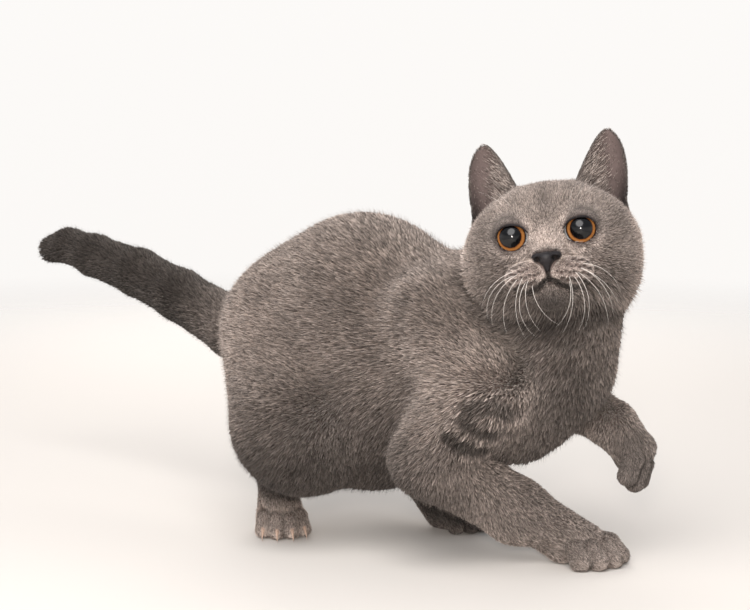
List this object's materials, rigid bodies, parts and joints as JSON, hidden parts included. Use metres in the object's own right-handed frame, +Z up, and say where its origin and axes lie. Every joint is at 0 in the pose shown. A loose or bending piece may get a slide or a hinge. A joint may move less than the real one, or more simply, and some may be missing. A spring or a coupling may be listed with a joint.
{
  "type": "british shorthair cat",
  "caption": "Life-size still model of a blue-grey shorthaired cat in mid-step, one forepaw raised, head turned to look up.",
  "frame": {"origin": "on the floor, under the middle of the model's box", "axes": "+X forward along the trunk, +Y to the cat's left, +Z up"},
  "size_m": [0.553, 0.1914, 0.2742],
  "materials": {
    "coat": "plush short blue-grey fur",
    "iris": "wet, clear cornea over a copper iris",
    "nose_leather": "dark slate, finely pebbled, slightly moist",
    "claw_horn": "smooth pale horn"
  },
  "bodies": {
    "root": {"left_eye": "iris", "right_eye": "iris", "nose": "nose_leather", "right_hind_claw_1": "claw_horn", "right_hind_claw_2": "claw_horn", "right_hind_claw_3": "claw_horn", "right_hind_claw_4": "claw_horn", "muzzle": "coat", "head": "coat", "right_fore_paw": "coat", "left_fore_paw": "coat", "right_hind_paw": "coat", "left_hind_paw": "coat", "right_forearm": "coat", "left_forearm": "coat", "right_hock": "coat", "left_hock": "coat", "right_upper_arm": "coat", "left_upper_arm": "coat", "right_thigh": "coat", "left_thigh": "coat", "neck": "coat", "tail_root": "coat", "tail_middle": "coat", "tail_tip": "coat", "chest": "coat", "belly": "coat", "rump": "coat", "left_ear": "coat", "right_ear": "coat"}
  },
  "joints": []
}
